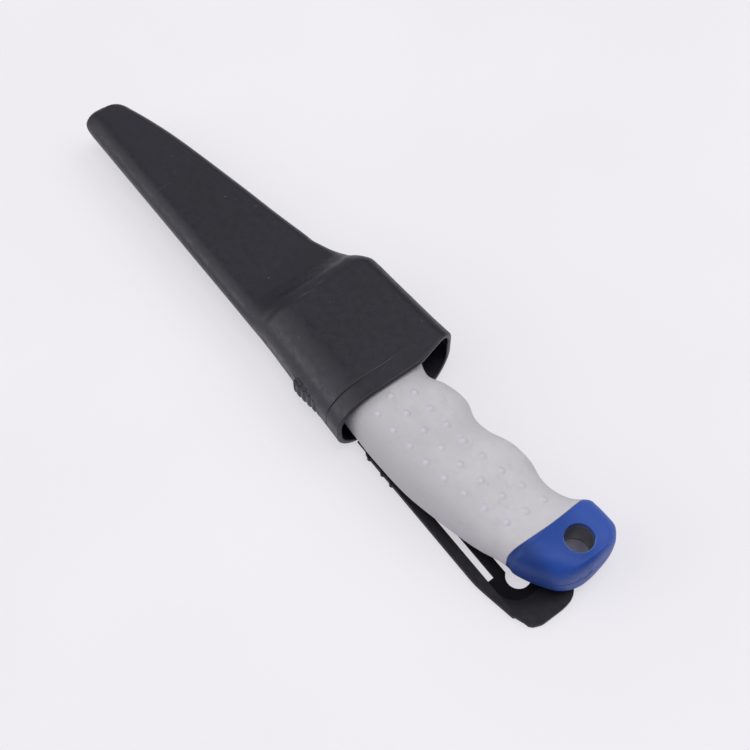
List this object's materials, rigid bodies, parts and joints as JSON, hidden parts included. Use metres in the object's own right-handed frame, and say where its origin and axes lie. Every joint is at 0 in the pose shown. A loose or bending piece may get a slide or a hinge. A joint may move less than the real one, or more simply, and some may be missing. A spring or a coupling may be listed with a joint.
{
  "type": "fishing knife with sheath",
  "caption": "Fishing knife with a contoured soft grip, lanyard hole and stick tang blade, held in a moulded belt sheath with a slotted hanger strap.",
  "frame": {"origin": "on the flat back of the sheath's throat, halfway along it", "axes": "+X from the sheath tip towards the butt of the handle, +Y towards the finger side, +Z out of the sheath's front"},
  "size_m": [0.2318, 0.0482, 0.0242],
  "materials": {
    "sheath_plastic": "black moulded plastic, fine satin texture",
    "hanger_plastic": "black moulded plastic, satin",
    "blade_steel": "fine brushed stainless steel",
    "core_plastic": "dark grey moulded plastic",
    "grip_rubber": "matte light grey soft grip",
    "cap_plastic": "satin blue plastic"
  },
  "bodies": {
    "sheath": {"sheath_body": "sheath_plastic"},
    "hanger": {"belt_hanger": "hanger_plastic"},
    "knife": {"blade": "blade_steel", "handle_core": "core_plastic", "grip_sleeve": "grip_rubber", "end_cap": "cap_plastic"}
  },
  "joints": [
    {"name": "knife_draw", "type": "slide", "parent": "sheath", "child": "knife", "axis": [1, 0, 0], "range_m": [0, 0.152]},
    {"name": "hanger_flex", "type": "hinge", "parent": "sheath", "child": "hanger", "pos_m": [0.02175, -0.0046, 0.0005], "axis": [0, 1, 0], "range_deg": [0, 90], "stiffness_Nm_per_rad": 0.05}
  ]
}
